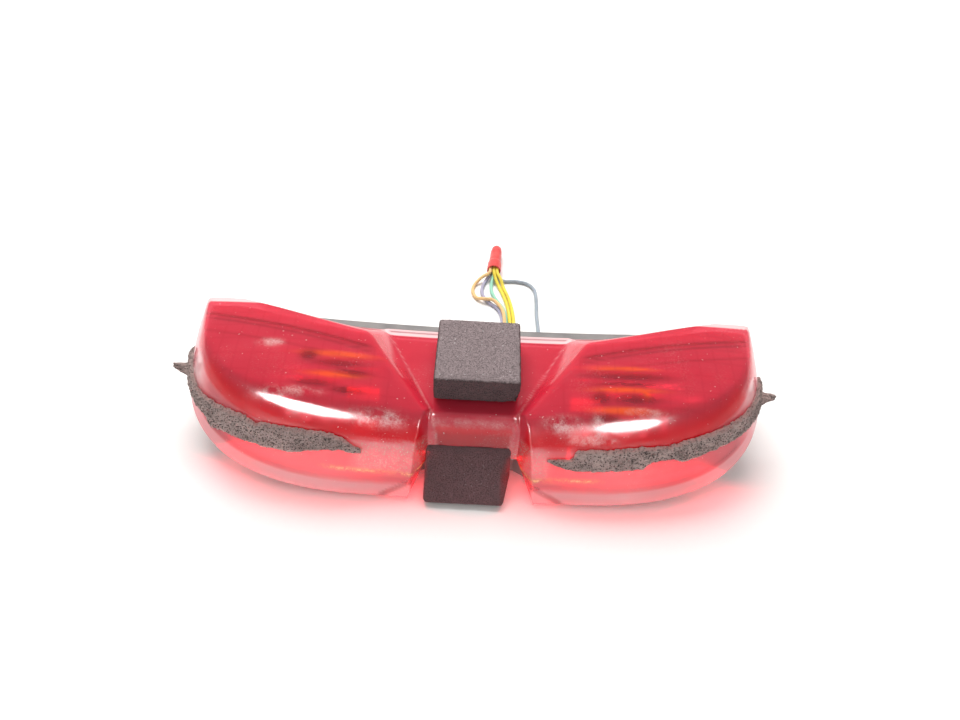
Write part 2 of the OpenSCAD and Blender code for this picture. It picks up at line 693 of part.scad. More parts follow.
free_wire(yellow_a_path, "#e8d24a");  // yellow_wire_a
free_wire(yellow_b_path, "#e8d24a");  // yellow_wire_b
free_wire(tan_path, "#e0a860");  // tan_wire
free_wire(lilac_path, "#a8a4bc");  // lilac_wire
free_wire(green_path, "#8cc8b0");  // green_wire
free_wire(blue_path, "#8a97ac");  // blue_wire
splice_cap();
crimp_barrel();
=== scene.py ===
import math

import bpy
import numpy as np
from mathutils import Matrix, Vector, noise


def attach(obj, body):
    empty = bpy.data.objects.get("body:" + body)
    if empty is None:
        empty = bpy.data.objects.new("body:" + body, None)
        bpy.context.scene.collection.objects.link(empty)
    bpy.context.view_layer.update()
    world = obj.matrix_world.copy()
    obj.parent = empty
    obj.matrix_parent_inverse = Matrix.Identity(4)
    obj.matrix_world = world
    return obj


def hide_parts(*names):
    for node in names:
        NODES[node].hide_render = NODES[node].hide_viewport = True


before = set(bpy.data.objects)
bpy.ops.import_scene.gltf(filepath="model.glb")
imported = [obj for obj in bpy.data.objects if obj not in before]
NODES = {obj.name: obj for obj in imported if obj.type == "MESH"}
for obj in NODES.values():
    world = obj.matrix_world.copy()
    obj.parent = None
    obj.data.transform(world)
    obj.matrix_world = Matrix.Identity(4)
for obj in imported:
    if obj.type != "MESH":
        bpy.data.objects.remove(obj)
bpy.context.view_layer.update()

MM = 0.001
SCENE = bpy.context.scene


# ---------------------------------------------------------------- camera and stage
def set_camera():
    """A camera that looks 45 degrees down, rolled a little, 0.35 m from its target."""
    yaw, pitch, roll = (math.radians(angle) for angle in (0.8, 45, 3.6))
    target, distance = Vector((0.0016, 0.038, 0)), 0.3456
    away = Vector((math.sin(yaw) * math.cos(pitch), math.cos(yaw) * math.cos(pitch),
                   -math.sin(pitch)))
    right = Vector((math.cos(yaw), -math.sin(yaw), 0))
    up = right.cross(away)
    x_axis = right * math.cos(roll) + up * math.sin(roll)
    y_axis = up * math.cos(roll) - right * math.sin(roll)
    place = Matrix((x_axis, y_axis, -away)).transposed().to_4x4()
    place.translation = target - away * distance
    data = bpy.data.cameras.new("camera")
    data.lens, data.sensor_width = 27, 36
    camera = bpy.data.objects.new("camera", data)
    camera.matrix_world = place
    SCENE.collection.objects.link(camera)
    SCENE.camera = camera


def add_light(name, place, target, size, power, tint):
    """An area light, in metres and watts, turned towards its target."""
    data = bpy.data.lights.new(name, "AREA")
    data.shape = "RECTANGLE"
    data.size, data.size_y = size
    data.energy, data.color = power, tint
    light = bpy.data.objects.new(name, data)
    light.location = place
    light.rotation_euler = (Vector(target) - Vector(place)).to_track_quat("-Z", "Y").to_euler()
    SCENE.collection.objects.link(light)
    return light


def mesh_object(name, points, faces, smooth=True, sharp=None):
    """A mesh piece from points in mm. Edges over the angle sharp stay crisp."""
    data = bpy.data.meshes.new(name)
    data.from_pydata([tuple(float(c) * MM for c in p) for p in points], [],
                     [tuple(int(i) for i in f) for f in faces])
    data.validate()
    data.update()
    if smooth:
        data.polygons.foreach_set("use_smooth", [True] * len(data.polygons))
        if sharp is not None:
            data.set_sharp_from_angle(angle=math.radians(sharp))
    piece = bpy.data.objects.new(name, data)
    SCENE.collection.objects.link(piece)
    return piece


# ---------------------------------------------------------------- materials
class Nodes:
    """Short names for building one node material."""

    def __init__(self, name):
        self.material = bpy.data.materials.new(name)
        self.material.use_nodes = True
        self.tree = self.material.node_tree
        self.shader = self.tree.nodes["Principled BSDF"]
        self.output = self.tree.nodes["Material Output"]
        coords = self.tree.nodes.new("ShaderNodeTexCoord")
        self.place = coords.outputs["Object"]

    def add(self, kind, links=(), **settings):
        made = self.tree.nodes.new("ShaderNode" + kind)
        for key, value in settings.items():
            setattr(made, key, value)
        for socket, value in dict(links).items():
            self.put(made.inputs[socket], value)
        return made

    def put(self, socket, value):
        if isinstance(value, bpy.types.NodeSocket):
            self.tree.links.new(value, socket)
        else:
            socket.default_value = value

    def stretched(self, scale):
        return self.add("Mapping", {"Vector": self.place, "Scale": scale}).outputs["Vector"]

    def noise(self, scale, detail=3.0, rough=0.55, place=None, distortion=0.0):
        made = self.add("TexNoise", {"Vector": place or self.place, "Scale": scale,
                                     "Detail": detail, "Roughness": rough,
                                     "Distortion": distortion})
        return made.outputs["Fac"]

    def cells(self, scale, place):
        return self.add("TexVoronoi", {"Vector": place, "Scale": scale}).outputs["Distance"]

    def span(self, value, low, high, to_low=0.0, to_high=1.0):
        made = self.add("MapRange", {"Value": value, "From Min": low, "From Max": high,
                                     "To Min": to_low, "To Max": to_high})
        return made.outputs["Result"]

    def maths(self, operation, a, b=0.0):
        return self.add("Math", {0: a, 1: b}, operation=operation).outputs["Value"]

    def blend(self, share, a, b):
        made = self.add("Mix", {"Factor": share}, data_type="RGBA")
        self.put(made.inputs[6], a)
        self.put(made.inputs[7], b)
        return made.outputs[2]

    def attribute(self, name):
        return self.add("Attribute", attribute_name=name).outputs["Fac"]

    def bump(self, height, distance, strength=1.0):
        made = self.add("Bump", {"Height": height, "Distance": distance, "Strength": strength})
        return made.outputs["Normal"]

    def set(self, **values):
        """Sets or links the shader's inputs, with _ for the spaces in their names."""
        for name, value in values.items():
            self.put(self.shader.inputs[name.replace("_", " ")], value)


def colour(r, g, b):
    return (r, g, b, 1.0)


def solid_finish(name, dark, light, grain, rough, bump, metallic=0.0, wear=None, speckle=0.0):
    """A plastic, rubber or metal: clouded colour, uneven gloss, fine grain and light wear."""
    n = Nodes(name)
    clouds = n.noise(grain * 0.12, 4.0)
    fine = n.noise(grain, 5.0, 0.65)
    base = n.blend(n.span(clouds, 0.35, 0.65), colour(*dark), colour(*light))
    if speckle:
        dots = n.span(n.noise(grain * 2.5, 2.0), 0.62, 0.72)
        base = n.blend(n.maths("MULTIPLY", dots, speckle), base, colour(0.5, 0.48, 0.46))
    if wear:
        scratch = n.noise(grain * 0.5, 6.0, 0.7, n.stretched((1.0, 7.0, 3.0)))
        base = n.blend(n.span(scratch, 0.62, 0.72, 0.0, 0.55), base, colour(*wear))
    n.set(Base_Color=base, Metallic=metallic,
          Roughness=n.span(n.noise(grain * 0.3, 3.0), 0.3, 0.7, rough[0], rough[1]),
          Normal=n.bump(fine, bump))
    return n.material


def foam_finish(name, dark, light, pit, top_dust_and_light, cell):
    """Open-cell foam: mottled colour, pores darkened with painted shade, a crumbly surface, and
    dust and a painted lighter top.
    """
    n = Nodes(name)
    clouds = n.noise(90, 5.0, 0.6)
    pores = n.cells(cell, n.stretched((1.0, 1.25, 1.1)))
    fine = n.noise(cell * 1.6, 3.0, 0.7)
    base = n.blend(n.span(clouds, 0.32, 0.68), colour(*dark), colour(*light))
    base = n.blend(n.span(fine, 0.38, 0.62, 0.0, 0.7), base, colour(*light))
    # dust and painted light: the faces that face up are lighter
    base = n.blend(n.attribute("dust"), base, colour(*top_dust_and_light))
    flecks = n.maths("MULTIPLY", n.span(n.noise(1150, 1.5), 0.70, 0.74), n.attribute("dust"))
    base = n.blend(n.maths("MULTIPLY", flecks, 0.6), base, colour(0.72, 0.68, 0.68))
    # painted shade in the open pores, less where dust fills them on top
    shaded_pores = n.maths("MULTIPLY", n.span(pores, 0.18, 0.42, 0.95, 0.0),
                         n.span(n.attribute("dust"), 0.0, 1.0, 1.0, 0.35))
    base = n.blend(shaded_pores, base, colour(*pit))
    height = n.maths("ADD", n.span(pores, 0.05, 0.5), n.maths("MULTIPLY", fine, 0.9))
    n.set(Base_Color=base, Roughness=0.95, Normal=n.bump(height, 0.0006))
    n.shader.inputs["Specular IOR Level"].default_value = 0.2
    n.shader.inputs["Sheen Weight"].default_value = 0.04
    n.shader.inputs["Sheen Roughness"].default_value = 0.6
    return n.material


def wire_finish(name, base, dirt):
    """Soft insulation with stains and worn patches."""
    n = Nodes(name)
    stain = n.span(n.noise(260, 4.0), 0.48, 0.75, 0.0, 0.5)
    smear = n.span(n.noise(60, 3.0), 0.35, 0.7, 0.0, 0.35)
    tone = n.blend(stain, colour(*base), colour(*dirt))
    tone = n.blend(smear, tone, colour(*[min(1.0, c * 1.15 + 0.03) for c in base]))
    n.set(Base_Color=tone, Roughness=n.span(n.noise(400), 0.3, 0.7, 0.28, 0.45),
          Normal=n.bump(n.noise(1500, 3.0), 0.00008))
    n.shader.inputs["Subsurface Weight"].default_value = 0.08
    n.shader.inputs["Subsurface Scale"].default_value = 0.0008
    return n.material


def glass_finish():
    """Bulb glass: light goes straight through, and the surface is glossy."""
    n = Nodes("bulb_glass")
    normal = n.bump(n.noise(120, 2.0), 0.0001)
    n.set(Base_Color=colour(0.8, 0.82, 0.82), Normal=normal,
          Roughness=n.span(n.noise(220, 4.0), 0.3, 0.7, 0.03, 0.08))
    gloss = n.add("LayerWeight", {"Blend": 0.12, "Normal": normal}).outputs["Fresnel"]
    share = n.maths("MAXIMUM", gloss, 0.05)
    clear = n.add("BsdfTransparent", {"Color": colour(0.96, 0.97, 0.97)})
    mixed = n.add("MixShader", {0: share, 1: clear.outputs[0], 2: n.shader.outputs[0]})
    n.put(n.output.inputs["Surface"], mixed.outputs[0])
    return n.material


def lens_finish():
    """Red acrylic: a deep red face with painted shade and reflections, a skirt paler with painted
    light, scuffs with painted highlights, dust and old adhesive.
    """
    n = Nodes("red_acrylic")
    split = n.add("SeparateXYZ", {"Vector": n.place})
    face, deep_shade, painted_light = n.attribute("face"), n.attribute("deep_shade"), n.attribute("painted_light")
    # painted shade along the edges of the small pillows moulded inside the lobes
    grid = []
    for axis, pitch in zip("XY", OPTICS_PITCH):
        cell = n.maths("FRACT", n.maths("DIVIDE", split.outputs[axis], pitch * MM))
        edge = n.maths("ABSOLUTE", n.maths("SUBTRACT", cell, 0.5))
        grid.append(n.span(edge, 0.38, 0.5))
    pillow_edge_shade = n.maths("MULTIPLY", n.maths("MAXIMUM", grid[0], grid[1]), n.attribute("optics"))
    clouds = n.noise(45, 4.0, 0.6, n.stretched((1.0, 2.2, 1.0)))

    # marks: scratches, rubbed patches with painted highlights on the crease and the saddle's ridge,
    # dust, and what the strips' adhesive left behind
    scratch = n.span(n.noise(150, 8.0, 0.75, n.stretched((1.0, 9.0, 4.0)), 0.4), 0.675, 0.70)
    fine = n.noise(1300, 4.0, 0.8)
    ragged = n.span(n.noise(190, 4.0, 0.7), 0.38, 0.60)
    rubbed_and_highlit = n.maths("MULTIPLY", n.maths("MULTIPLY", n.attribute("scuff_and_highlight"), ragged),
                     n.span(fine, 0.40, 0.60, 0.35, 1.0))
    haze = n.maths("MULTIPLY", n.span(n.noise(42, 4.0), 0.52, 0.72), n.span(fine, 0.5, 0.66))
    dust = n.span(n.noise(900, 1.5), 0.735, 0.77)
    crumbs = n.maths("MULTIPLY", n.attribute("band"), n.span(n.noise(1300, 5.0, 0.8), 0.50, 0.62))
    film = n.maths("MULTIPLY", n.attribute("band"), n.span(ragged, 0.0, 1.0, 0.25, 0.55))
    glue = n.maths("MULTIPLY", n.attribute("glue"), n.span(n.noise(700, 5.0, 0.75), 0.38, 0.56))
    marks_and_highlights = n.maths("ADD", n.maths("MULTIPLY", scratch, 0.5), n.maths("MULTIPLY", haze, 0.16))
    marks_and_highlights = n.maths("ADD", n.maths("MAXIMUM", marks_and_highlights, n.maths("MULTIPLY", rubbed_and_highlit, 0.75)),
                    n.maths("MULTIPLY", dust, 0.6))
    marks_and_highlights = n.maths("MINIMUM", marks_and_highlights, 0.85)

    # colours: the red face with painted shade and painted reflections, the skirt paler with painted
    # light, then painted shade, marks with painted highlights and adhesive over both
    # painted shade: the richer red on the front slopes and the saddle's front
    red = n.blend(deep_shade, n.blend(clouds, colour(0.56, 0.020, 0.050), colour(0.68, 0.048, 0.085)),
                  colour(0.80, 0.005, 0.018))
    # painted reflections: orange streaks of the bulbs and the reflector seen through the face
    red = n.blend(n.attribute("glow"), red, colour(1.0, 0.13, 0.022))
    # painted shade along the pillows' edges
    red = n.blend(n.maths("MULTIPLY", pillow_edge_shade, 0.2), red, colour(0.40, 0.012, 0.03))
    # painted light: the skirt's pale pink, and near white where it is paler still
    lit_skirt = n.blend(painted_light, colour(0.92, 0.235, 0.275), colour(1.0, 0.82, 0.82))
    base = n.blend(face, lit_skirt, red)
    # painted shade: the dark shapes and lines seen through the lens, clouded
    shade = n.maths("MULTIPLY", n.attribute("shade"), n.span(clouds, 0.3, 0.7, 0.65, 0.9))
    dark = n.blend(face, colour(0.20, 0.09, 0.10), colour(0.10, 0.008, 0.015))
    base = n.blend(shade, base, dark)
    base = n.blend(marks_and_highlights, base, colour(0.95, 0.76, 0.72))
    base = n.blend(film, base, colour(0.52, 0.13, 0.125))
    base = n.blend(n.maths("MULTIPLY", crumbs, 0.75), base, colour(0.42, 0.34, 0.27))
    base = n.blend(glue, base, colour(0.88, 0.62, 0.27))
    crust = n.maths("MULTIPLY", n.maths("ADD", marks_and_highlights, crumbs), 0.2)
    relief = n.maths("ADD", n.noise(55, 3.0), crust)
    normal = n.bump(relief, 0.0005, 0.45)
    n.set(Base_Color=base, Normal=normal,
          Roughness=n.span(n.maths("ADD", n.noise(90, 5.0), marks_and_highlights), 0.4, 1.2, 0.11, 0.5))
    n.shader.inputs["Coat Weight"].default_value = 0.6
    n.shader.inputs["Coat Roughness"].default_value = 0.09
    n.shader.inputs["Specular IOR Level"].default_value = 0.45

    # how much of the light stops at the surface, and how much goes through, tinted
    gloss = n.add("LayerWeight", {"Blend": 0.10, "Normal": normal}).outputs["Fresnel"]
    body = n.maths("ADD", n.span(face, 0.0, 1.0, 0.46, 0.62), n.maths("MULTIPLY", painted_light, 0.25))
    body = n.maths("ADD", body, n.maths("MULTIPLY", n.attribute("band"), 0.3))
    cover = n.maths("MAXIMUM", n.maths("MAXIMUM", marks_and_highlights, crumbs), glue)
    share = n.maths("MAXIMUM", n.maths("MAXIMUM", gloss, cover), body)
    # the light that makes the lamp's shadow goes straight through, and turns red
    lit = n.maths("SUBTRACT", 1.0, n.add("LightPath").outputs["Is Shadow Ray"])
    share = n.maths("MULTIPLY", share, lit)
    tint = n.blend(face, colour(0.97, 0.60, 0.64), colour(0.94, 0.30, 0.36))
    clear = n.add("BsdfTransparent", {"Color": tint})
    mixed = n.add("MixShader", {0: share, 1: clear.outputs[0], 2: n.shader.outputs[0]})
    n.put(n.output.inputs["Surface"], mixed.outputs[0])
    return n.material


def make_materials():
    grey, warm = (0.20, 0.19, 0.19), (0.26, 0.25, 0.245)
    return {
        "housing": solid_finish("housing_grey", grey, warm, 900, (0.42, 0.6), 0.00006,
                                wear=(0.42, 0.40, 0.38), speckle=0.25),
        "rubber": solid_finish("black_rubber", (0.012, 0.012, 0.013), (0.03, 0.029, 0.028), 1400,
                               (0.55, 0.75), 0.00008, speckle=0.3),
        "chrome": solid_finish("reflector_chrome", (0.78, 0.78, 0.80), (0.88, 0.88, 0.88), 600,
                               (0.10, 0.22), 0.00003, metallic=1.0),
        "steel": solid_finish("steel", (0.42, 0.42, 0.43), (0.62, 0.61, 0.60), 1600,
                              (0.26, 0.42), 0.00005, metallic=1.0, wear=(0.35, 0.27, 0.2)),
        "dark_plastic": solid_finish("dark_plastic", (0.025, 0.025, 0.028), (0.05, 0.05, 0.052),
                                     1200, (0.35, 0.5), 0.00005, wear=(0.14, 0.14, 0.14)),
        "brass": solid_finish("brass", (0.62, 0.43, 0.17), (0.78, 0.60, 0.30), 1200,
                              (0.24, 0.4), 0.00004, metallic=1.0, wear=(0.35, 0.24, 0.12)),
        "phenolic": solid_finish("phenolic", (0.19, 0.07, 0.03), (0.30, 0.13, 0.06), 1500,
                                 (0.4, 0.55), 0.00005),
        "tape": solid_finish("white_tape", (0.70, 0.67, 0.60), (0.82, 0.80, 0.75), 1800,
                             (0.6, 0.8), 0.00008, wear=(0.45, 0.42, 0.38)),
        "sleeve": solid_finish("black_sleeve", (0.015, 0.015, 0.016), (0.04, 0.04, 0.04), 1500,
                               (0.35, 0.5), 0.00007),
        "glass": glass_finish(),
        "cap": solid_finish("red_cap", (0.62, 0.05, 0.05), (0.80, 0.12, 0.11), 900,
                            (0.3, 0.45), 0.00008, wear=(0.85, 0.5, 0.46)),
        "lens": lens_finish(),
        # each foam: dark and light tones, the pores' painted shade, dust with a painted lighter
        # top, and the cell size
        "block_foam": foam_finish("charcoal_foam", (0.046, 0.018, 0.021), (0.112, 0.056, 0.061),
                                  (0.010, 0.006, 0.008), (0.300, 0.236, 0.241), 1700),
        "pad_foam": foam_finish("soft_dark_foam", (0.112, 0.046, 0.052), (0.182, 0.083, 0.091),
                                (0.030, 0.014, 0.017), (0.155, 0.085, 0.092), 2100),
        "strip_foam": foam_finish("crumbling_foam", (0.12, 0.079, 0.071), (0.53, 0.40, 0.375),
                                  (0.018, 0.010, 0.010), (0.34, 0.26, 0.24), 1150),
    }


# ---------------------------------------------------------------- the lens's form, in mm
LENS_T = 2.4
FACE_GAP = 9.0              # from a lobe's rim to its face
OPTICS_PITCH = (6.8, 7.4)
HALF_W, ROUND_X, CROWN_Y, HALF_DEPTH, FRONT_Y = 120.0, 37.0, 8.0, 51.0, -43.0
ARCH_Y, ARCH_Z, SADDLE_Z, CROWN_Z, SPINE_Y = -30.5, 13.5, 32.5, 45.0, -1.0
ROUND_A, ROUND_N = HALF_W - ROUND_X, 2.5
NOTCH_IN, NOTCH_OUT = (18.2, -31.3), (25.0, -43.4)
CORNER_X, CORNER_R = 114.0, 4.0


def rim_z(y):
    """Height of the rim, where the lens meets the housing."""
    return 33 + 0.46 * (y - 24)


def rear_y(x):
    return 21.0 + 0.00042 * x * x


def side_x(y):
    return HALF_W - 0.003 * np.maximum(0, y - CROWN_Y) ** 2


def low_of(a, b, r):
    """The lower of two heights, with the join between them rounded over about r."""
    return np.minimum(a, b) - np.maximum(r - np.abs(a - b), 0) ** 2 / (4 * r)


def high_of(a, b, r):
    return -low_of(-a, -b, r)


def rim_gap(x, y):
    """Distance from a lobe's rim, measured inwards."""
    dx = np.maximum((x - ROUND_X) / ROUND_A, 1e-6)
    dy = np.maximum((CROWN_Y - y) / HALF_DEPTH, 1e-6)
    level = (dx ** ROUND_N + dy ** ROUND_N) ** (1 / ROUND_N)
    slope = level ** (1 - ROUND_N) * np.hypot(dx ** (ROUND_N - 1) / ROUND_A,
                                              dy ** (ROUND_N - 1) / HALF_DEPTH)
    round_gap = (1 - level) / slope
    return np.where(y >= CROWN_Y, side_x(y) - x,
                    np.where(x <= ROUND_X, y - FRONT_Y, round_gap))


def crease_gap(x, y):
    """How far a point is outside the crease between the saddle and a lobe."""
    return 0.894 * (x - 16) - 0.448 * (y + 25.3)


def lens_z(x, y, t):
    """The lens's height at a point, t below its outer skin."""
    x = np.abs(x)
    crown = CROWN_Z - 0.0055 * np.maximum(0, CROWN_Y - y) ** 2 - 0.0016 * (x - 70) ** 2 - t
    outer = rim_z(y) + 2.1 * (rim_gap(x, y) - t)
    run = np.minimum(14, np.maximum(1.5, 1.5 + 0.21 * (100 - x)))
    back = rim_z(rear_y(x)) + 11 / run * (rear_y(x) - y - t)
    crease = crease_gap(x, y)
    facet = SADDLE_Z - 1.4 * t + 1.02 * crease
    notch = (2 + np.maximum(0, 11.5 * np.minimum(1, (y + 43.5) / 12.5))
             + 6 * (0.8725 * (x - 18) + 0.4886 * (y + 31) - t))
    lobe = low_of(crown, outer, 3 + 9 * np.clip((CROWN_Y - y) / 30, 0, 1))
    lobe = low_of(low_of(low_of(lobe, back, 2), facet, 2), notch, 2)
    saddle = low_of(SADDLE_Z - t - 2 * np.maximum(0, crease),
                    ARCH_Z + 3.45 * (y - ARCH_Y - t), 3)
    return high_of(lobe, saddle, 1.5)


def lobe_point(f, inset=0.0):
    """A point on a lobe's rim, from its middle at f = 0 to its side at f = 1."""
    p = math.radians(90 * f)
    return (ROUND_X + (ROUND_A - inset) * max(0, math.sin(p)) ** (2 / ROUND_N),
            CROWN_Y - (HALF_DEPTH - inset) * max(0, math.cos(p)) ** (2 / ROUND_N))


def lens_rims(arch_n, notch_n, flat_n, lobe_n):
    """Outer and inner rim points of the right half, front and rear, and their heights."""
    front, inner, height = [], [], []
    for k in range(arch_n):
        x = 17.5 * k / (arch_n - 1)
        front.append((x, ARCH_Y))
        inner.append((x, ARCH_Y + LENS_T))
        height.append(ARCH_Z)
    for k in range(notch_n):
        f = k / (notch_n - 1)
        p = [a + (b - a) * f for a, b in zip(NOTCH_IN, NOTCH_OUT)]
        front.append(tuple(p))
        inner.append((p[0] + LENS_T * 0.87, p[1] + LENS_T * (0.49 + 0.51 * f ** 6)))
        height.append(ARCH_Z - 0.5 + (rim_z(FRONT_Y) - ARCH_Z + 0.5) * f)
    for k in range(1, flat_n + 1):
        f = k / flat_n
        x = NOTCH_OUT[0] + (ROUND_X - NOTCH_OUT[0]) * f
        y = NOTCH_OUT[1] + (FRONT_Y - NOTCH_OUT[1]) * min(1, 2 * f)
        front.append((x, y))
        inner.append((x + LENS_T * 0.87 * (1 - f), y + LENS_T))
        height.append(rim_z(y))
    for k in range(1, lobe_n + 1):
        front.append(lobe_point(k / lobe_n))
        inner.append(lobe_point(k / lobe_n, LENS_T))
        height.append(rim_z(front[-1][1]))
    count = len(front)
    corner_y = rear_y(CORNER_X) - CORNER_R
    corner_len = CORNER_R * math.pi / 2
    total = CORNER_X + corner_len + corner_y - CROWN_Y
    rear, rear_inner = [], []
    for k in range(count):
        q = total * k / (count - 1)
        turn = math.radians(90 * min(1, max(0, (q - CORNER_X) / corner_len)))
        if q <= CORNER_X:
            p = (q, rear_y(q))
        elif q <= CORNER_X + corner_len:
            p = (CORNER_X + (float(side_x(corner_y)) - CORNER_X) * math.sin(turn),
                 corner_y + CORNER_R * math.cos(turn))
        else:
            y = corner_y - (q - CORNER_X - corner_len)
            p = (float(side_x(y)), y)
        rear.append(p)
        rear_inner.append((p[0] - LENS_T * math.sin(turn), p[1] - LENS_T * math.cos(turn)))
    return [np.array(a) for a in (front, inner, height, rear, rear_inner)]


# where each strip starts on its lobe's rim, left then right, and the rim's straight part
STRIP_FROM, STRIP_FLAT = (0.04, -0.035), 170
# heights of the torn edges, left strip then right strip: (share of the way round, z)
STRIP_TOP = (((0, 21.7), (0.02, 23.0), (0.045, 25.2), (0.07, 26.6), (0.094, 27.3), (0.21, 27.7),
              (0.345, 27.7), (0.368, 26.2), (0.39, 27.2), (0.45, 28.2), (0.59, 27.6), (0.71, 26.8),
              (0.81, 26.6), (0.92, 28.0), (1, 29.4)),
             ((0, 21.0), (0.05, 22.4), (0.06, 25.4), (0.12, 26.2), (0.21, 27.3), (0.33, 27.6),
              (0.42, 29.0), (0.54, 29.8), (0.69, 30.6), (0.85, 30.2), (0.96, 29.4), (1, 29)))
STRIP_FOOT = (((0, 20.2), (0.02, 19.8), (0.05, 20.6), (0.086, 20.2), (0.146, 19.2),
               (0.214, 17.3), (0.44, 17.5), (0.508, 17.4), (0.57, 16.4), (0.585, 16.3),
               (0.61, 18.6), (0.672, 19.6), (0.80, 20.8), (0.9, 23.2), (1, 26.2)),
              ((0, 20.2), (0.05, 16.9), (0.1, 17.0), (0.2, 17.8), (0.235, 18.2), (0.26, 20.8),
               (0.34, 21.6), (0.37, 19.6), (0.44, 20.8), (0.55, 22.2), (0.72, 22.6),
               (0.87, 23.0), (1, 26.2)))


def along_table(table, f):
    return float(np.interp(f, [p[0] for p in table], [p[1] for p in table]))


def smooth_step(value, low, high):
    f = np.clip((value - low) / (high - low), 0, 1)
    return f * f * (3 - 2 * f)


def ridge(value, width, power=2):
    """1 where the value is 0, falling away over the width."""
    return np.exp(-(value / width) ** power)


def lens_skin(t, ring_n, rims):
    """Grid of points of one skin: lines from the front rim over the spine to the back rim."""
    front, inner, height, rear, rear_inner = rims
    near, far = (front, rear) if t == 0 else (inner, rear_inner)
    spine = np.stack([0.31 * (front[:, 0] + rear[:, 0]), np.full(len(front), SPINE_Y)], 1)
    step = np.concatenate([np.arange(ring_n + 1), np.arange(ring_n - 1, -1, -1)])
    share = (step / ring_n) ** 1.6
    back = np.arange(2 * ring_n + 1) > ring_n
    rim = np.where(back[None, :, None], far[:, None], near[:, None])
    plan = rim + (spine[:, None] - rim) * share[None, :, None]
    x, y = plan[..., 0], plan[..., 1]
    gap = rim_gap(x, y)
    crease = crease_gap(x, y)
    optics = (smooth_step(gap, FACE_GAP, 15) * smooth_step(crease, 8, 13)
              * smooth_step(rear_y(x) - y, 4, 9))
    thick = t
    if t:
        u = 2 * np.mod(x / OPTICS_PITCH[0], 1) - 1
        v = 2 * np.mod(y / OPTICS_PITCH[1], 1) - 1
        thick = t + 0.55 * optics * (1 - u * u) * (1 - v * v)
    z = lens_z(x, y, thick)
    rim_low = np.where(back[None, :], rim_z(rim[..., 1]), height[:, None])
    z = np.where(step[None, :] == 0, rim_low, z)
    return np.stack([x, y, z], 2), optics


# painted reflections, the orange streaks that the reflector and bulb send back through the face:
# (x, y, half width, half depth) in mm
PAINTED_GLOWS = ((-55, -6.3, 14, 1.3), (-55, -15.4, 11, 1.2), (58, -15.8, 14, 1.1),
         (66, -17.6, 1.4, 1.9), (57, -24.2, 12, 1.4), (57, -6.3, 13, 0.9))
# painted shade, the dark shapes of the reflector and bulb seen through the face: (x, y, half width,
# half depth) in mm
SHADES = ((-54, -10.4, 10, 1.8), (-66, -7.5, 4, 2.6), (-48, -14, 7, 1.3), (-62, -19.3, 8, 1.6),
          (-49, -21.5, 7, 1.5), (60, -9.7, 17, 2.0), (60, -13.4, 17, 0.8),
          (48.5, -19.2, 4.2, 2.6), (62, -19.4, 10, 2.4), (50, -26.6, 6, 1.2))
# rubbed patches on the outer skin
SCUFFS = ((-37, -29.2, 11, 2.0), (-82, -2.2, 5, 2.0), (47.5, -29.0, 2.8, 4.0),
          (44, -31.9, 9, 0.9), (34, -28.4, 7, 2.2), (-72, -23, 12, 1.6), (66, -24.5, 8, 1.2))


def patches(x, y, table):
    """1 inside each soft oblong of a table, 0 outside."""
    made = np.zeros(len(x))
    for x0, y0, half_x, half_y in table:
        u, v = (x - x0) / half_x, (y - y0) / half_y
        made = np.maximum(made, np.exp(-np.hypot(u, v) ** 3))
    return made


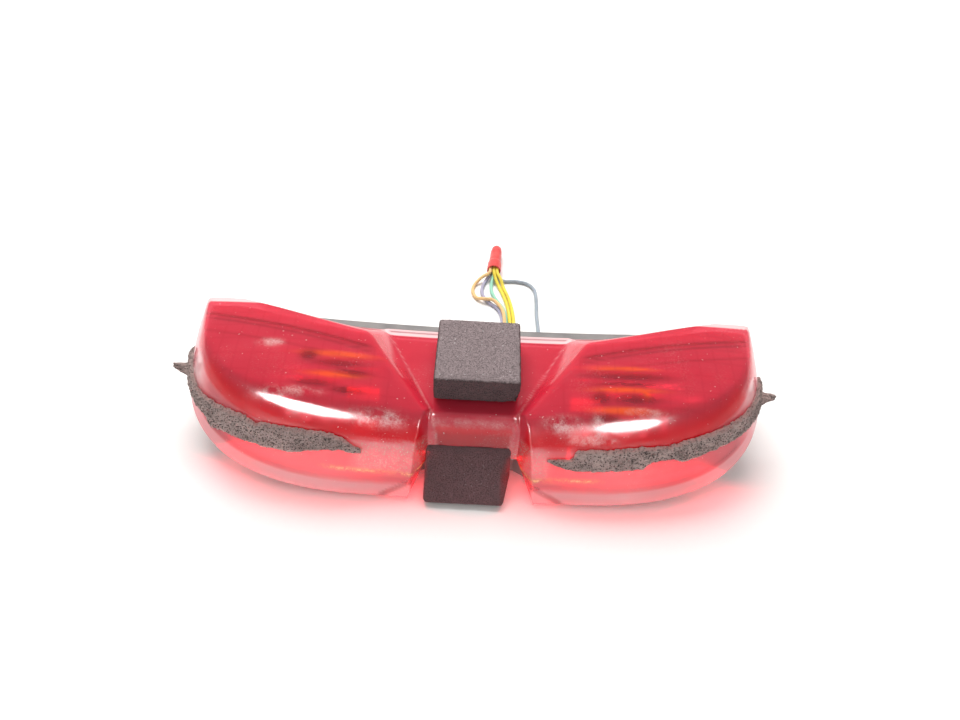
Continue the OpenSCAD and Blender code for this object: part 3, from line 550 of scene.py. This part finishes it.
def lens_masks(points):
    """Where the lens is painted deep (shade) or pale (light), where it glows with painted
    reflections, and where it is marked, from 0 to 1.
    """
    x, y, z = points.T
    wide = np.abs(x)
    gap = rim_gap(wide, y)
    crease = crease_gap(wide, y)
    lobe = smooth_step(crease, -0.4, 0.6)
    corner = smooth_step(wide, 92, 106) * smooth_step(y, -6, 6)
    inside = smooth_step(gap + 4 * corner, FACE_GAP - 0.35, FACE_GAP + 0.35)
    from_rear = rear_y(wide) - y
    rear = smooth_step(from_rear, 3.6, 4.2)
    web = smooth_step(-crease, -0.6, 0.4) * rear
    face = np.maximum(lobe * inside * rear, web)

    # painted shade: a richer red on the front slopes; painted light: paler walls at the ends and
    # the back
    deep_shade = lobe * smooth_step(-gap, -15.5, -10.5) * smooth_step(-y, 6, 14)
    deep_shade = np.maximum(deep_shade, web * smooth_step(-y, 20, 24) * smooth_step(-z, -29, -25))
    painted_light = (1 - face) * smooth_step(wide, 100, 116) * smooth_step(y, -22, -6)
    painted_light *= 1 - 0.6 * corner
    painted_light = np.maximum(painted_light, 0.9 * smooth_step(-from_rear, -4.2, -3.6))
    painted_light = np.maximum(painted_light, 0.45 * (1 - face) * smooth_step(-gap, -2.3, -1.9))
    painted_light = np.maximum(painted_light, 0.5 * lobe * smooth_step(-crease, -7, -4) * smooth_step(y, -7, -1))

    # painted shade: dark lines where the reflector's edges, the sill, the joint at the back and the
    # brace show through, and on the saddle's front
    far_line_shade = ridge(y + 11 - 0.23 * wide, 1.1)
    far_line_shade = np.maximum(far_line_shade, 0.6 * ridge(y + 13.4 - 0.23 * wide, 0.7))
    far_line_shade = np.maximum(far_line_shade, 0.45 * ridge(y + 17.5 - 0.2 * wide, 0.6))
    far_line_shade *= smooth_step(wide, 38, 46) * inside * lobe
    sill_shade = 0.45 * lobe * ridge(gap - 2.9, 0.35) * smooth_step(-y, 16, 24)
    joint_shade = smooth_step(-crease, 0, 1) * ridge(from_rear - 1.6, 0.5)
    joint_shade = np.maximum(joint_shade, 0.5 * web * smooth_step(-z, -25.5, -23.5))
    brace_shade = ridge(z - 2.8 - 0.53 * (35 - wide), 1.3, 4)
    brace_shade *= smooth_step(-y, 31, 33) * smooth_step(-wide, -38, -35)

    # the adhesive's dirty band, its yellow foot, and the rubbed shoulders, with a painted highlight
    # along the crease and the saddle's ridge
    front = smooth_step(-y, 26, 31)
    end = np.where(x < 0, smooth_step(-wide, -50, -42), smooth_step(-wide, -32, -28))
    band = front * smooth_step(z, 12, 13.5) * smooth_step(-z, -25.5, -23.5) * end * lobe
    foot = 11.4 + 0.045 * (wide - 20)
    glue = front * ridge(z - foot, 0.6)
    glue *= np.where(x < 0, smooth_step(-wide, -62, -52), smooth_step(-wide, -54, -44))
    shoulder_wear_and_highlight = front * ridge(z - 28.9, 0.9) * smooth_step(-np.abs(x - 44), -13, -9)
    # painted highlight, with scratches, along the crease
    shoulder_wear_and_highlight = np.maximum(shoulder_wear_and_highlight, 0.7 * ridge(crease - 0.3, 0.5) * smooth_step(-y, 2, 10))
    # painted highlight along the saddle's ridge
    shoulder_wear_and_highlight = np.maximum(shoulder_wear_and_highlight, 0.45 * web * ridge(z - 28.6, 1.8))

    shade = patches(x, y, SHADES) + 0.8 * far_line_shade + sill_shade + brace_shade + joint_shade
    # the deep red and the shade are painted shade, the pale parts painted light, the glow painted
    # reflections, and the scuffs partly painted highlights
    return {"face": face, "deep_shade": deep_shade, "painted_light": painted_light, "band": band, "glue": glue,
            "glow": patches(x, y, PAINTED_GLOWS), "shade": np.minimum(1, shade),
            "scuff_and_highlight": np.maximum(patches(x, y, SCUFFS), shoulder_wear_and_highlight)}


def make_lens(material):
    """The lens as one closed shell: outer skin, inner skin with optics, and the rim."""
    ring_n = 52
    rims = lens_rims(arch_n=18, notch_n=18, flat_n=10, lobe_n=104)
    count, row = len(rims[0]), 2 * ring_n + 1
    points, optics = [], []
    for t in (0, LENS_T):
        skin, mask = lens_skin(t, ring_n, rims)
        mirrored = skin[:0:-1] * np.array([-1, 1, 1])
        points.append(np.concatenate([mirrored, skin]).reshape(-1, 3))
        optics.append(np.concatenate([mask[:0:-1], mask]).ravel())
    skin_n = len(points[0])
    last = 2 * count - 2

    def at(i, j):
        """The point on line i at step j. An end line runs back over itself."""
        folded = i in (0, last) and j > ring_n
        return i * row + (2 * ring_n - j if folded else j)

    faces = []
    for i in range(last):
        for j in range(2 * ring_n):
            quad = [at(i, j), at(i, j + 1), at(i + 1, j + 1), at(i + 1, j)]
            quad = [q for k, q in enumerate(quad) if q not in quad[:k]]
            if len(quad) > 2:
                faces.append(quad[::-1])
                faces.append([q + skin_n for q in quad])
    loop = [at(i, 0) for i in range(last + 1)]
    loop += [at(i, 2 * ring_n) for i in range(last - 1, 0, -1)]
    for k, a in enumerate(loop):
        b = loop[(k + 1) % len(loop)]
        faces.append([b, a, a + skin_n, b + skin_n])
    points = np.concatenate(points)
    optics = np.concatenate(optics)
    used = np.unique(np.concatenate([np.array(face) for face in faces]))
    renumber = np.full(len(points), -1)
    renumber[used] = np.arange(len(used))
    points, optics = points[used], optics[used]
    faces = [[renumber[q] for q in face] for face in faces]
    lens = mesh_object("lens_shell", points, faces, sharp=50)
    for name, values in dict(lens_masks(points), optics=optics).items():
        layer = lens.data.attributes.new(name, "FLOAT", "POINT")
        layer.data.foreach_set("value", values.astype(np.float32))
    lens.data.materials.append(material)
    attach(lens, "root")
    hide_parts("lens")


# ---------------------------------------------------------------- foam
def through(a, b, c, d, f):
    """A point between b and c on the smooth curve through four points."""
    return 0.5 * (2 * b + (c - a) * f + (2 * a - 5 * b + 4 * c - d) * f * f
                  + (3 * b - a - 3 * c + d) * f ** 3)


def fbm(p, scale, seed, octaves=4):
    """Fractal noise at a point in mm, roughly -1 to 1."""
    return noise.fractal(Vector(p) * scale + Vector((seed * 7.1, seed * 3.3, seed * 5.7)),
                         0.9, 2.0, octaves)


def rounded_block(name, low, high, steps, radius, worn):
    """A foam block: rounded edges, uneven sides and worn corners. Sizes are in mm."""
    low, high = Vector(low), Vector(high)
    middle, half = (low + high) / 2, (high - low) / 2
    index, points, faces = {}, [], []

    def vertex(i, j, k):
        key = (i, j, k)
        if key not in index:
            q = Vector([2 * c / s - 1 for c, s in zip(key, steps)])
            p = Vector([a * b for a, b in zip(q, half)])
            core = Vector([max(-h + radius, min(h - radius, c)) for c, h in zip(p, half)])
            away = p - core
            if away.length > radius:
                p = core + away.normalized() * radius
            index[key] = len(points)
            points.append(worn(p, middle, half))
        return index[key]

    def sheet(axis, side):
        a, b = [c for c in range(3) if c != axis]
        for i in range(steps[a]):
            for j in range(steps[b]):
                quad = []
                for di, dj in ((0, 0), (1, 0), (1, 1), (0, 1)):
                    key = [0, 0, 0]
                    key[axis], key[a], key[b] = side * steps[axis], i + di, j + dj
                    quad.append(vertex(*key))
                flip = (side == 0) != (axis == 1)
                faces.append(quad[::-1] if flip else quad)

    for axis in range(3):
        for side in (0, 1):
            sheet(axis, side)
    return mesh_object(name, points, faces)


def finish_foam(piece, material, node):
    """Marks the faces that face up, for dust and a painted lighter top, gives the piece its
    material and the root body, and hides the CAD node it replaces.
    """
    layer = piece.data.attributes.new("dust", "FLOAT", "POINT")
    facing = np.array([v.normal.z for v in piece.data.vertices])
    layer.data.foreach_set("value", smooth_step(facing, 0.55, 0.95).astype(np.float32))
    piece.data.materials.append(material)
    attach(piece, "root")
    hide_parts(node)


def make_top_block(material):
    """The block on the saddle, with a slack top and a crumbled corner."""
    def worn(p, middle, half):
        out = p.normalized()
        nx, ny, nz = (c / h for c, h in zip(p, half))
        edge = max(0, abs(nx) - 0.8) + max(0, abs(ny) - 0.8)
        move = 0.16 * fbm(p, 0.3, 1) + 0.16 * fbm(p, 1.6, 2) - 0.1
        # the front right bottom corner has crumbled away
        corner = Vector((p.x - half.x, p.y + half.y, p.z + half.z)).length
        chipped = max(0, 1 - corner / 6.5)
        crumbs = chipped * (1.6 + 1.5 * fbm(p, 0.9, 3))
        top = -0.25 * (1 - nx * nx) * (1 - ny * ny) if nz > 0.9 else 0
        q = p + out * move - Vector((0.8, -0.6, -0.3)) * crumbs
        q.z += top - 0.5 * edge * max(0, nz) * (1 + fbm(p, 0.3, 4))
        q.z = max(-half.z + 0.05, min(half.z, q.z))
        return q + middle

    block = rounded_block("foam_block", (-16.6, -18.4, 33.0), (17.2, 16.6, 45.0), (46, 46, 18),
                          1.3, worn)
    finish_foam(block, material, "foam_block_top")


def make_lower_pad(material):
    """The slab that leans from the middle of the lens down to the surface."""
    # its outline from the side, as (y, z)
    outline = [(-29.4, 18.4), (-37, 11.2), (-44.8, 3.4), (-44.6, 1.2), (-42.2, 0.15),
               (-36.2, 0.15), (-31.5, 4.6), (-27.1, 9.2), (-28.4, 11.4), (-30.7, 13.3),
               (-28.5, 16.2)]
    count = len(outline)
    ring = []
    for k in range(count):
        a, b, c, d = (Vector(outline[(k + m) % count]) for m in (-1, 0, 1, 2))
        for s in range(7):
            f = s / 7
            ring.append(b.lerp(c, f).lerp(through(a, b, c, d, f), 0.55))
    centre = sum(ring, Vector((0, 0))) / len(ring)
    points, faces, columns = [], [], 44
    middle_x, side_half, side_round = -2.3, 16.2, 1.4
    for i in range(columns + 1):
        f = 2 * i / columns - 1
        past = max(0, (abs(f) * side_half - side_half + side_round) / side_round)
        shrink = side_round * (1 - math.sqrt(max(0, 1 - past ** 2)))
        for q in ring:
            inward = (centre - q).normalized()
            rise = min(1, max(0, (q.y - 1) / 17))
            # the right side flares at the top, and the left one is straight
            half = (15.6 + 1.9 * rise ** 4 - 1.1 * math.sin(math.pi * rise) if f > 0
                    else 16.4 - 0.2 * rise)
            flat = q + inward * shrink
            p = Vector((middle_x + f * half, flat.x, flat.y))
            soft = 0.35 * fbm(p, 0.16, 5) + 0.16 * fbm(p, 0.9, 6)
            p -= Vector((0, -0.69, 0.72)) * (soft if rise > 0.02 else 0)
            p.z = max(0.1, p.z)
            points.append(p)
    n = len(ring)
    for i in range(columns):
        for k in range(n):
            m = (k + 1) % n
            faces.append((i * n + k, i * n + m, (i + 1) * n + m, (i + 1) * n + k))
    for i, order in ((0, 1), (columns, -1)):
        points.append(Vector((points[i * n].x, centre.x, centre.y)))
        hub = len(points) - 1
        for k in range(n):
            tri = (hub, i * n + (k + 1) % n, i * n + k)
            faces.append(tri[::order])
    pad = mesh_object("foam_pad", points, faces)
    finish_foam(pad, material, "foam_pad_lower")


def strip_rim(f, start):
    """A point on the lobe's rim under the strip, from its start to its end."""
    g = start + (1 - start) * f
    return (ROUND_X + STRIP_FLAT * g, FRONT_Y) if g < 0 else lobe_point(g)


def wall_points(rim, z):
    """Where the lens's outer wall is at each height z, on the way in from each rim point."""
    end = np.stack([0.62 * rim[:, 0], np.full(len(rim), SPINE_Y)], 1)
    low, high = np.zeros(len(z)), np.full(len(z), 0.5)
    for _ in range(18):
        middle = (low + high) / 2
        p = rim + (end - rim) * middle[:, None]
        under = lens_z(p[:, 0], p[:, 1], 0) < z
        low, high = np.where(under, middle, low), np.where(under, high, middle)
    p = rim + (end - rim) * ((low + high) / 2)[:, None]
    return np.stack([p[:, 0], p[:, 1], z], 1)


def make_strip(side, material):
    """A torn sealing strip: crumbled edges, pits, a frayed end and a loose tip."""
    along, across = 230, 20
    lowest, highest = 4.0, 31.5
    thickness, most, clear = 1.7, 2.8, 0.38
    which, seed = (0, 11) if side < 0 else (1, 23)
    start = STRIP_FROM[which]
    rims, heights, outs = [], [], []
    for i in range(along + 1):
        g = i / along
        d = Vector(strip_rim(min(1, g + 0.02), start)) - Vector(strip_rim(max(0, g - 0.02), start))
        outs.append(Vector((d.y, -d.x, 0)).normalized() * 0.9 + Vector((0, 0, 0.43)))
        low, high = along_table(STRIP_FOOT[which], g), along_table(STRIP_TOP[which], g)
        torn, worn = (0.5 * fbm((g * 130, a, 0), 0.4, seed) + 0.35 * fbm((g * 130, b, 0), 1.6, seed)
                      for a, b in ((0, 5), (9, 14)))
        for j in range(across + 1):
            h = j / across
            rims.append(strip_rim(g, start))
            z = low + (high - low) * h + torn * (1 - h) - worn * h
            heights.append(min(highest, max(lowest, z)))
    wall = [Vector(p) for p in wall_points(np.array(rims), np.array(heights))]
    points, faces = [], []
    for layer in (0, 1):
        for k, base in enumerate(wall):
            i, j = divmod(k, across + 1)
            g, h, out = i / along, j / across, outs[i]
            taper = min(1, g / 0.05) * min(1, (1 - g) / 0.02 + 0.3)
            edge = min(1, 6 * min(h, 1 - h) + 0.15) * (0.35 + 0.65 * taper)
            lump = 0.25 * fbm(base, 0.25, seed + 2) + 0.55 * fbm(base, 1.3, seed + 3, 5)
            pit = max(0, fbm(base, 0.6, seed + 4) - 0.2)
            smooth = max(0, 1 - abs(g - 0.33) / 0.035) * max(0, 1 - abs(h - 0.55) / 0.35)
            thick = thickness * edge * (1 + 0.42 * lump * (1 - 0.9 * min(1, 2 * smooth)))
            thick -= 1.4 * pit * edge
            p = base + out * (clear + (max(0.25, min(most, thick)) if layer else 0))
            # the loose tip that sticks out near the strip's far end
            fray = 1 + 0.9 * fbm((g * 500, h * 5, 0), 0.8, seed + 5)
            tip = max(0, 1 - abs(g - 0.918) / 0.026) * max(0, 1 - abs(h - 0.2) / 0.4)
            p += out * max(0, min(5.5, 9 * fray * tip))
            points.append(Vector((side * p.x, p.y, p.z)))
    row, skin_n = across + 1, (along + 1) * (across + 1)
    for i in range(along):
        for j in range(across):
            a, b = i * row + j, (i + 1) * row + j
            faces.append((a, a + 1, b + 1, b))
            faces.append((skin_n + a, skin_n + b, skin_n + b + 1, skin_n + a + 1))
        for j in (0, across):
            a, b = i * row + j, (i + 1) * row + j
            quad = (a, b, skin_n + b, skin_n + a)
            faces.append(quad if j == 0 else quad[::-1])
    for i in (0, along):
        for j in range(across):
            a = i * row + j
            quad = (a, a + 1, skin_n + a + 1, skin_n + a)
            faces.append(quad[::-1] if i == 0 else quad)
    if side < 0:
        faces = [f[::-1] for f in faces]
    name = "left" if side < 0 else "right"
    strip = mesh_object("foam_edge_" + name, points, faces)
    finish_foam(strip, material, "foam_strip_" + name)


# ---------------------------------------------------------------- cords
EXIT_PATH = [(15, 30.5, 7.6), (15, 36, 7.2), (15, 42, 4), (15, 48, 1.2), (15, 60, 0.95)]
BLUE_EXIT = [(30, 30.5, 7.6), (30, 36, 7.2), (30, 42, 4), (30, 48, 1.2), (30, 60, 0.95)]
WIRE_D, WIRE_LOWEST, PITCH = 1.8, 0.92, 1.9
# sideways shift, lift, slot, and the route in mm after the exit; None is the blue wire's exit
WIRES = {
    "yellow_wire_a": (PITCH / 2, 0, "yellow_wire", [
        (15.6, 69, 0.95), (14.5, 77, 0.95), (12.6, 85, 0.95), (10.2, 92, 0.95),
        (8.2, 97, 2.6), (7, 101, 4.6), (7.3, 108, 4.7)]),
    "yellow_wire_b": (1.5 * PITCH, 0, "yellow_wire", [
        (17.5, 69, 0.95), (16.5, 77, 0.95), (14.7, 85, 0.95), (12.4, 92, 1),
        (11, 96, 2.9), (8.7, 101, 4.6), (8.9, 108, 4.7)]),
    "green_wire": (-PITCH / 2, 0, "green_wire", [
        (13.6, 69, 0.95), (11.9, 76, 0.95), (8.6, 82, 0.95), (6.3, 88, 0.95),
        (5.9, 94, 0.95), (6.7, 100, 2.5), (7.3, 108, 2.7)]),
    "lilac_wire": (-1.5 * PITCH, 0, "lilac_wire", [
        (11.6, 69, 0.95), (9.4, 75, 0.95), (5.2, 79.5, 0.95), (1.8, 84.5, 0.95),
        (1, 90, 0.95), (2.4, 96, 0.95), (4.8, 101, 2.5), (5.4, 108, 2.7)]),
    "tan_wire": (-PITCH, 1.7, "tan_wire", [
        (12.6, 69, 2.7), (10.6, 75, 2.9), (6.6, 79.6, 3), (2, 80.8, 2.3), (-1.8, 83, 1),
        (-3.8, 88, 0.95), (-3, 93.5, 0.95), (0.4, 97.6, 2.8), (4.4, 99.8, 4.4),
        (5.1, 103, 4.7), (5.4, 108, 4.7)]),
    "blue_wire": (None, 0, "blue_wire", [
        (29.5, 72, 0.95), (29.6, 83, 0.95), (28.8, 91.5, 0.95), (25, 96.6, 0.95),
        (18.5, 98.2, 0.95), (12.6, 97.9, 0.95), (9.4, 99.4, 1.8), (8.7, 102.4, 2.7),
        (8.9, 108, 2.7)]),
}
WIRE_COLOURS = {
    "yellow_wire": ((0.83, 0.66, 0.08), (0.45, 0.34, 0.10)),
    "tan_wire": ((0.82, 0.53, 0.24), (0.50, 0.32, 0.18)),
    "lilac_wire": ((0.40, 0.38, 0.50), (0.25, 0.23, 0.28)),
    "green_wire": ((0.30, 0.62, 0.47), (0.55, 0.60, 0.52)),
    "blue_wire": ((0.33, 0.38, 0.43), (0.17, 0.20, 0.23)),
}


def route_of(shift, lift, rest):
    """A wire's whole route, from its exit in the back wall to the splice cap."""
    start = BLUE_EXIT if shift is None else [(x + shift, y, z + lift) for x, y, z in EXIT_PATH]
    return [Vector(p) for p in start + rest]


def smooth_route(points, per_span=7):
    """A smooth curve through the route's points."""
    ends = [points[0] * 2 - points[1]] + points + [points[-1] * 2 - points[-2]]
    made = []
    for k in range(1, len(ends) - 2):
        for s in range(per_span):
            made.append(through(*ends[k - 1:k + 3], s / per_span))
    made.append(points[-1].copy())
    for p in made:
        p.z = max(p.z, WIRE_LOWEST)
    return made


def make_cords():
    """The six free wires, each a curve along its route."""
    for name, (shift, lift, slot, rest) in WIRES.items():
        path = smooth_route(route_of(shift, lift, rest))
        data = bpy.data.curves.new("cord_" + name, "CURVE")
        data.dimensions = "3D"
        data.bevel_depth, data.bevel_resolution = WIRE_D / 2 * MM, 4
        data.use_fill_caps = True
        spline = data.splines.new("POLY")
        spline.points.add(len(path) - 1)
        for point, p in zip(spline.points, path):
            point.co = (p.x * MM, p.y * MM, p.z * MM, 1)
        spline.use_smooth = True
        piece = bpy.data.objects.new("cord_" + name, data)
        SCENE.collection.objects.link(piece)
        data.materials.append(wire_finish(name + "_pvc", *WIRE_COLOURS[slot]))
        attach(piece, "root")
        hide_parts(name)
        length = sum((b - a).length for a, b in zip(path, path[1:])) * MM


# ---------------------------------------------------------------- CAD nodes' finishes
FINISHES = {
    "housing": ["rear_housing", "mount_lugs"],
    "rubber": ["lens_seal", "vent_caps", "mount_grommets", "main_grommet", "small_grommet",
               "holder_seal_left", "holder_seal_right"],
    "chrome": ["reflector_left", "reflector_right"],
    "steel": ["reflector_screws", "mount_collars", "contact_spring_left",
              "contact_spring_right", "bulb_contacts_left", "bulb_contacts_right",
              "bulb_filaments_left", "bulb_filaments_right", "crimp_barrel"],
    "dark_plastic": ["bulb_holder_left", "bulb_holder_right", "bulb_insulator_left",
                     "bulb_insulator_right"],
    "brass": ["holder_sleeve_left", "holder_sleeve_right", "bulb_base_left",
              "bulb_base_right"],
    "phenolic": ["contact_plate_left", "contact_plate_right"],
    "glass": ["bulb_glass_left", "bulb_glass_right"],
    "tape": ["block_tape"],
    "sleeve": ["lead_sleeve_left", "lead_sleeve_right"],
    "cap": ["splice_cap"],
}


def dress(node, material):
    """Gives a CAD node its finish, in every slot it has."""
    data = NODES[node].data
    if not data.materials:
        data.materials.append(material)
    for index in range(len(data.materials)):
        data.materials[index] = material


def make_stage():
    """A pale table, a soft sky, two cards for the highlights, and the lobes' red glow."""
    size = 3000
    corners = [(-size, -size, 0), (size, -size, 0), (size, size, 0), (-size, size, 0)]
    floor = mesh_object("floor", corners, [(0, 1, 2, 3)], smooth=False)
    n = Nodes("pale_table")
    cloud = n.span(n.noise(4.0, 4.0), 0.3, 0.7)
    n.set(Base_Color=n.blend(cloud, colour(0.90, 0.885, 0.87), colour(0.93, 0.92, 0.91)),
          Roughness=n.span(n.noise(30.0), 0.3, 0.7, 0.45, 0.6),
          Normal=n.bump(n.noise(500, 3.0), 0.00005))
    floor.data.materials.append(n.material)
    world = bpy.data.worlds.new("soft_studio")
    world.use_nodes = True
    background = world.node_tree.nodes["Background"]
    background.inputs["Color"].default_value = (1.0, 0.985, 0.97, 1)
    background.inputs["Strength"].default_value = 0.5
    SCENE.world = world
    sky = add_light("sky", (-0.12, 0.62, 0.85), (0, 0.02, 0), (0.9, 0.6), 15.0, (1, 0.99, 0.98))
    sky.visible_glossy = False
    # two bright cards make the highlights on the lobes' front shoulders
    for name, x, width, power in (("card_left", -0.44, 0.60, 20), ("card_right", 0.33, 0.32, 11)):
        card = add_light(name, (x, -0.85, 0.36), (0, 0, 0.035), (width, 0.32), power, (1, 1, 1))
        card.data.shape = "ELLIPSE"
        card.visible_diffuse = False
    fill = add_light("fill", (0, -0.9, 0.5), (0, 0, 0.02), (1.2, 0.7), 1.2, (1, 0.99, 0.98))
    fill.visible_glossy = False
    # red light that the lobes gather and throw on the table in front of them
    for side in (-1, 1):
        glow = add_light("glow", (side * 0.062, -0.030, 0.014), (side * 0.062, -0.062, 0),
                         (0.09, 0.008), 0.03, (1, 0.04, 0.06))
        glow.visible_glossy = glow.visible_camera = False
    SCENE.view_settings.view_transform = "Standard"
    SCENE.cycles.transparent_max_bounces = 16


def main():
    set_camera()
    make_cords()
    make_stage()
    finishes = make_materials()
    for name, nodes in FINISHES.items():
        for node in nodes:
            dress(node, finishes[name])
    dress("blue_lead", wire_finish("blue_lead_pvc", *WIRE_COLOURS["blue_wire"]))
    make_lens(finishes["lens"])
    make_top_block(finishes["block_foam"])
    make_lower_pad(finishes["pad_foam"])
    for side in (-1, 1):
        make_strip(side, finishes["strip_foam"])


main()
